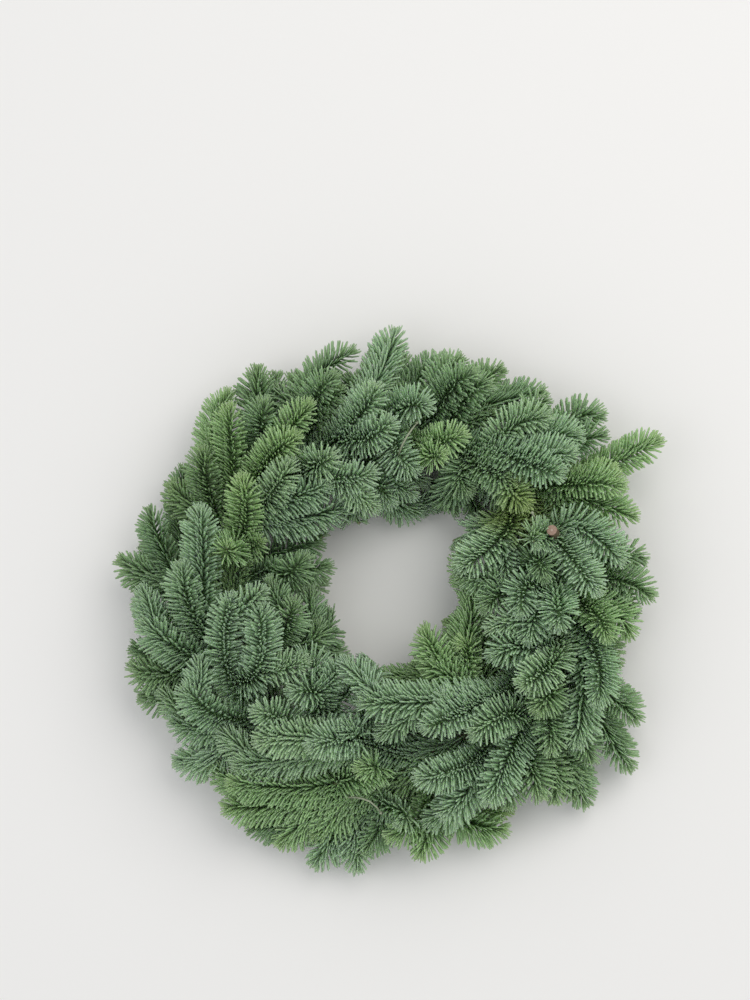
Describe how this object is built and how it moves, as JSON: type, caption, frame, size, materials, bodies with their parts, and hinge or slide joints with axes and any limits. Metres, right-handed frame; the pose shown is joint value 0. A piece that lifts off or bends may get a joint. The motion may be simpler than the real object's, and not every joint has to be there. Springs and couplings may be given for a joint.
{
  "type": "christmas wreath",
  "caption": "Plain round wreath of layered noble fir tips bound onto a raised wire ring frame, open in the middle, lying flat on its back.",
  "frame": {"origin": "middle of the wreath's bounding box on the surface it lies on", "axes": "+Z along the ring's axis, up from the surface to the crown; +Y to 12 o'clock; the shoots point clockwise seen from +Z"},
  "size_m": [0.4614, 0.4548, 0.115],
  "materials": {
    "frame_wire": "green coated wire",
    "reel_wire": "dull annealed wire",
    "foliage_glaucous": "waxy blue-green needles on brown twigs",
    "foliage_mid_green": "satin mid-green needles on brown twigs",
    "foliage_fresh_green": "fresh light-green needles on brown twigs"
  },
  "bodies": {
    "root": {"wire_frame": "frame_wire", "binding_wire": "reel_wire", "fir_spray_01": "foliage_glaucous", "fir_spray_02": "foliage_mid_green", "fir_spray_03": "foliage_glaucous", "fir_spray_04": "foliage_fresh_green", "fir_spray_05": "foliage_mid_green", "fir_spray_06": "foliage_mid_green", "fir_spray_07": "foliage_glaucous", "fir_spray_08": "foliage_mid_green", "fir_spray_09": "foliage_fresh_green", "fir_spray_10": "foliage_glaucous", "fir_spray_11": "foliage_fresh_green", "fir_spray_12": "foliage_glaucous", "fir_spray_13": "foliage_mid_green", "fir_spray_14": "foliage_glaucous", "fir_spray_15": "foliage_glaucous", "fir_spray_16": "foliage_fresh_green", "fir_spray_17": "foliage_glaucous", "fir_spray_18": "foliage_fresh_green", "fir_spray_19": "foliage_fresh_green", "fir_spray_20": "foliage_glaucous", "fir_spray_21": "foliage_mid_green", "fir_spray_22": "foliage_mid_green", "fir_spray_23": "foliage_glaucous", "fir_spray_24": "foliage_glaucous", "fir_spray_25": "foliage_mid_green", "fir_spray_26": "foliage_glaucous", "fir_spray_27": "foliage_fresh_green", "fir_spray_28": "foliage_glaucous", "fir_spray_29": "foliage_fresh_green", "fir_spray_30": "foliage_fresh_green", "fir_spray_31": "foliage_glaucous", "fir_spray_32": "foliage_glaucous", "fir_spray_33": "foliage_glaucous", "fir_spray_34": "foliage_mid_green", "fir_spray_35": "foliage_glaucous", "fir_spray_36": "foliage_glaucous", "fir_spray_37": "foliage_mid_green", "fir_spray_38": "foliage_mid_green", "fir_spray_39": "foliage_glaucous", "fir_spray_40": "foliage_fresh_green", "fir_spray_41": "foliage_mid_green", "fir_spray_42": "foliage_glaucous", "fir_spray_43": "foliage_mid_green", "fir_spray_44": "foliage_mid_green", "fir_spray_45": "foliage_fresh_green", "fir_spray_46": "foliage_mid_green", "fir_spray_47": "foliage_fresh_green", "fir_spray_48": "foliage_glaucous", "fir_spray_49": "foliage_glaucous", "fir_spray_50": "foliage_mid_green", "fir_spray_51": "foliage_mid_green", "fir_spray_52": "foliage_mid_green", "fir_spray_53": "foliage_glaucous", "fir_spray_54": "foliage_mid_green", "fir_spray_55": "foliage_mid_green", "fir_spray_56": "foliage_mid_green", "fir_spray_57": "foliage_mid_green"}
  },
  "joints": []
}
